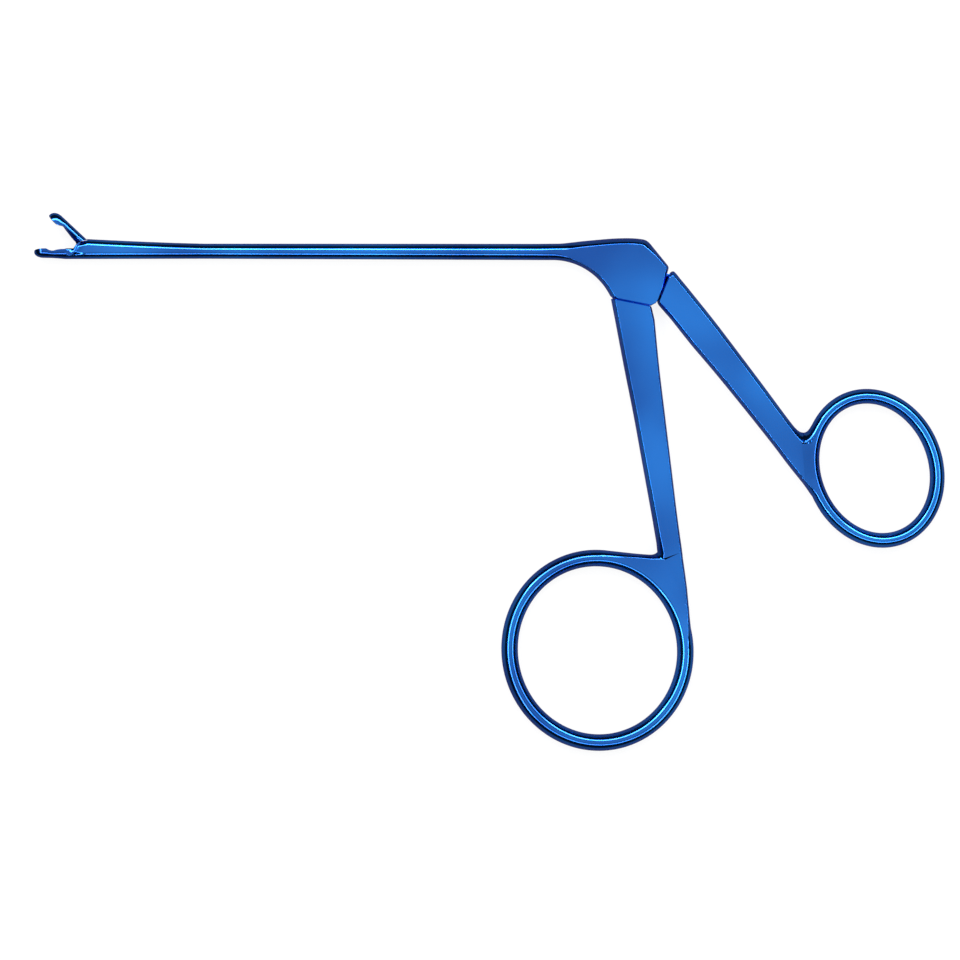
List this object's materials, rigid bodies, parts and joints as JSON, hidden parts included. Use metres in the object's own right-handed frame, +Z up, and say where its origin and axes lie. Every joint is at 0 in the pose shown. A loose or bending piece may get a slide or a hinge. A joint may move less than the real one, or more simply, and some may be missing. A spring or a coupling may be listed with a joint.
{
  "type": "ear cup forceps",
  "caption": "Slim-shafted ear forceps with a hinged cup jaw at the tip, worked by a fixed and a moving ring handle that pull a rod inside the shaft.",
  "frame": {"origin": "on the head's flat resting side, at the station of the handle pivot and below the shaft's axis", "axes": "+X along the shaft from the jaws to the handles, +Y across it away from the finger rings, +Z up through the thickness"},
  "size_m": [0.135, 0.0793, 0.0032],
  "materials": {
    "blue_metal": "polished blue anodised titanium",
    "bare_metal": "fine satin bare metal"
  },
  "bodies": {
    "frame": {"shaft_head": "blue_metal", "front_handle": "blue_metal", "handle_dowel_upper": "bare_metal", "handle_dowel_lower": "bare_metal", "pivot_screw": "bare_metal", "jaw_pin": "bare_metal"},
    "rear_handle": {"rear_handle": "blue_metal"},
    "drive_rod": {"drive_rod": "bare_metal"},
    "upper_jaw": {"upper_jaw": "blue_metal", "link_pin": "bare_metal"}
  },
  "joints": [
    {"name": "handle_pivot", "type": "hinge", "parent": "frame", "child": "rear_handle", "pos_m": [0, -0.00459, 0.0016], "axis": [0, 0, -1], "range_deg": [0, 8.09]},
    {"name": "rod_slide", "type": "slide", "parent": "frame", "child": "drive_rod", "axis": [1, 0, 0], "range_m": [0, 0.000565]},
    {"name": "jaw_hinge", "type": "hinge", "parent": "frame", "child": "upper_jaw", "pos_m": [-0.0823, 0.0004, 0.0016], "axis": [0, 0, 1], "range_deg": [0, 43]}
  ],
  "couplings": [
    {"joint": "rod_slide", "follows": "handle_pivot", "m_per_rad": 0.0039968},
    {"joint": "jaw_hinge", "follows": "handle_pivot", "ratio": 5.3143}
  ]
}
